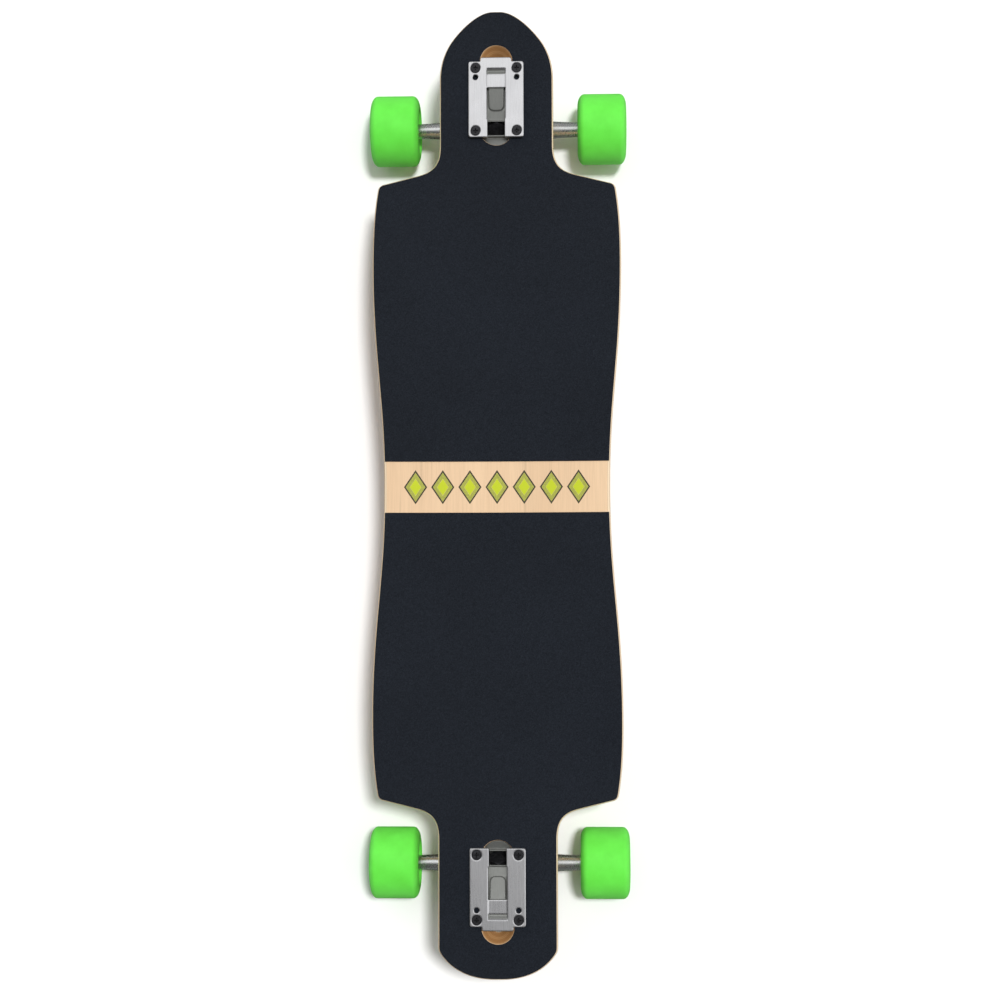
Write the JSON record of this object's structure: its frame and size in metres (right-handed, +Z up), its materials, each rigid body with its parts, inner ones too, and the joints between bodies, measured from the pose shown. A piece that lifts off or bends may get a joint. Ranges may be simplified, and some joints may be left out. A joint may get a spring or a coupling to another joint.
{
  "type": "skateboard",
  "caption": "Drop-through longboard: cut-away maple deck, two grit tape sheets, sprung steering trucks and wide urethane wheels on bearings.",
  "frame": {"origin": "middle of the board on the ground, under the middle of its bounding box", "axes": "+Y along the deck to the pointed nose, +Z up, +X to the rider's right when facing the nose"},
  "size_m": [0.2626, 0.9648, 0.1043],
  "materials": {
    "maple": "clear satin lacquer over maple veneer",
    "grit_tape": "black mineral grit on a polyester film",
    "cast_aluminium": "cast, with brushed machined faces",
    "black_steel": "black oxide",
    "bright_steel": "zinc plated",
    "bearing_steel": "polished rings and pressed shields",
    "bushing_urethane": "satin cast urethane",
    "wheel_urethane": "lime green cast urethane, satin"
  },
  "bodies": {
    "board": {"deck": "maple", "nose_griptape": "grit_tape", "tail_griptape": "grit_tape", "nose_baseplate": "cast_aluminium", "nose_pivot_cup": "bushing_urethane", "nose_kingpin": "black_steel", "nose_kingpin_nut": "bright_steel", "nose_board_bushing": "bushing_urethane", "nose_board_washer": "bright_steel", "nose_road_bushing": "bushing_urethane", "nose_road_washer": "bright_steel", "nose_bolt_inner_left": "black_steel", "nose_bolt_inner_right": "black_steel", "nose_bolt_outer_left": "black_steel", "nose_bolt_outer_right": "black_steel", "nose_lock_nut_inner_left": "black_steel", "nose_lock_nut_inner_right": "black_steel", "nose_lock_nut_outer_left": "black_steel", "nose_lock_nut_outer_right": "black_steel", "tail_baseplate": "cast_aluminium", "tail_pivot_cup": "bushing_urethane", "tail_kingpin": "black_steel", "tail_kingpin_nut": "bright_steel", "tail_board_bushing": "bushing_urethane", "tail_board_washer": "bright_steel", "tail_road_bushing": "bushing_urethane", "tail_road_washer": "bright_steel", "tail_bolt_inner_left": "black_steel", "tail_bolt_inner_right": "black_steel", "tail_bolt_outer_left": "black_steel", "tail_bolt_outer_right": "black_steel", "tail_lock_nut_inner_left": "black_steel", "tail_lock_nut_inner_right": "black_steel", "tail_lock_nut_outer_left": "black_steel", "tail_lock_nut_outer_right": "black_steel"},
    "nose_steering": {"nose_hanger": "cast_aluminium", "nose_axle": "bright_steel", "nose_left_axle_nut": "bright_steel", "nose_right_axle_nut": "bright_steel"},
    "tail_steering": {"tail_hanger": "cast_aluminium", "tail_axle": "bright_steel", "tail_left_axle_nut": "bright_steel", "tail_right_axle_nut": "bright_steel"},
    "nose_left_roller": {"nose_left_wheel": "wheel_urethane", "nose_left_inner_bearing": "bearing_steel", "nose_left_outer_bearing": "bearing_steel", "nose_left_bearing_spacer": "bright_steel"},
    "nose_right_roller": {"nose_right_wheel": "wheel_urethane", "nose_right_inner_bearing": "bearing_steel", "nose_right_outer_bearing": "bearing_steel", "nose_right_bearing_spacer": "bright_steel"},
    "tail_left_roller": {"tail_left_wheel": "wheel_urethane", "tail_left_inner_bearing": "bearing_steel", "tail_left_outer_bearing": "bearing_steel", "tail_left_bearing_spacer": "bright_steel"},
    "tail_right_roller": {"tail_right_wheel": "wheel_urethane", "tail_right_inner_bearing": "bearing_steel", "tail_right_outer_bearing": "bearing_steel", "tail_right_bearing_spacer": "bright_steel"}
  },
  "joints": [
    {"name": "nose_steer", "type": "hinge", "parent": "board", "child": "nose_steering", "pos_m": [0, 0.3872, 0.06421], "axis": [0, 0.7071, 0.7071], "range_deg": [-18, 18], "stiffness_Nm_per_rad": 40, "deforming": ["nose_board_bushing", "nose_road_bushing"]},
    {"name": "tail_steer", "type": "hinge", "parent": "board", "child": "tail_steering", "pos_m": [0, -0.3872, 0.06421], "axis": [0, -0.7071, 0.7071], "range_deg": [-18, 18], "stiffness_Nm_per_rad": 40, "deforming": ["tail_board_bushing", "tail_road_bushing"]},
    {"name": "nose_left_spin", "type": "hinge", "parent": "nose_steering", "child": "nose_left_roller", "pos_m": [-0.1063, 0.37539, 0.036], "axis": [1, 0, 0], "continuous": true},
    {"name": "nose_right_spin", "type": "hinge", "parent": "nose_steering", "child": "nose_right_roller", "pos_m": [0.1063, 0.37539, 0.036], "axis": [1, 0, 0], "continuous": true},
    {"name": "tail_left_spin", "type": "hinge", "parent": "tail_steering", "child": "tail_left_roller", "pos_m": [-0.1063, -0.37539, 0.036], "axis": [1, 0, 0], "continuous": true},
    {"name": "tail_right_spin", "type": "hinge", "parent": "tail_steering", "child": "tail_right_roller", "pos_m": [0.1063, -0.37539, 0.036], "axis": [1, 0, 0], "continuous": true}
  ]
}
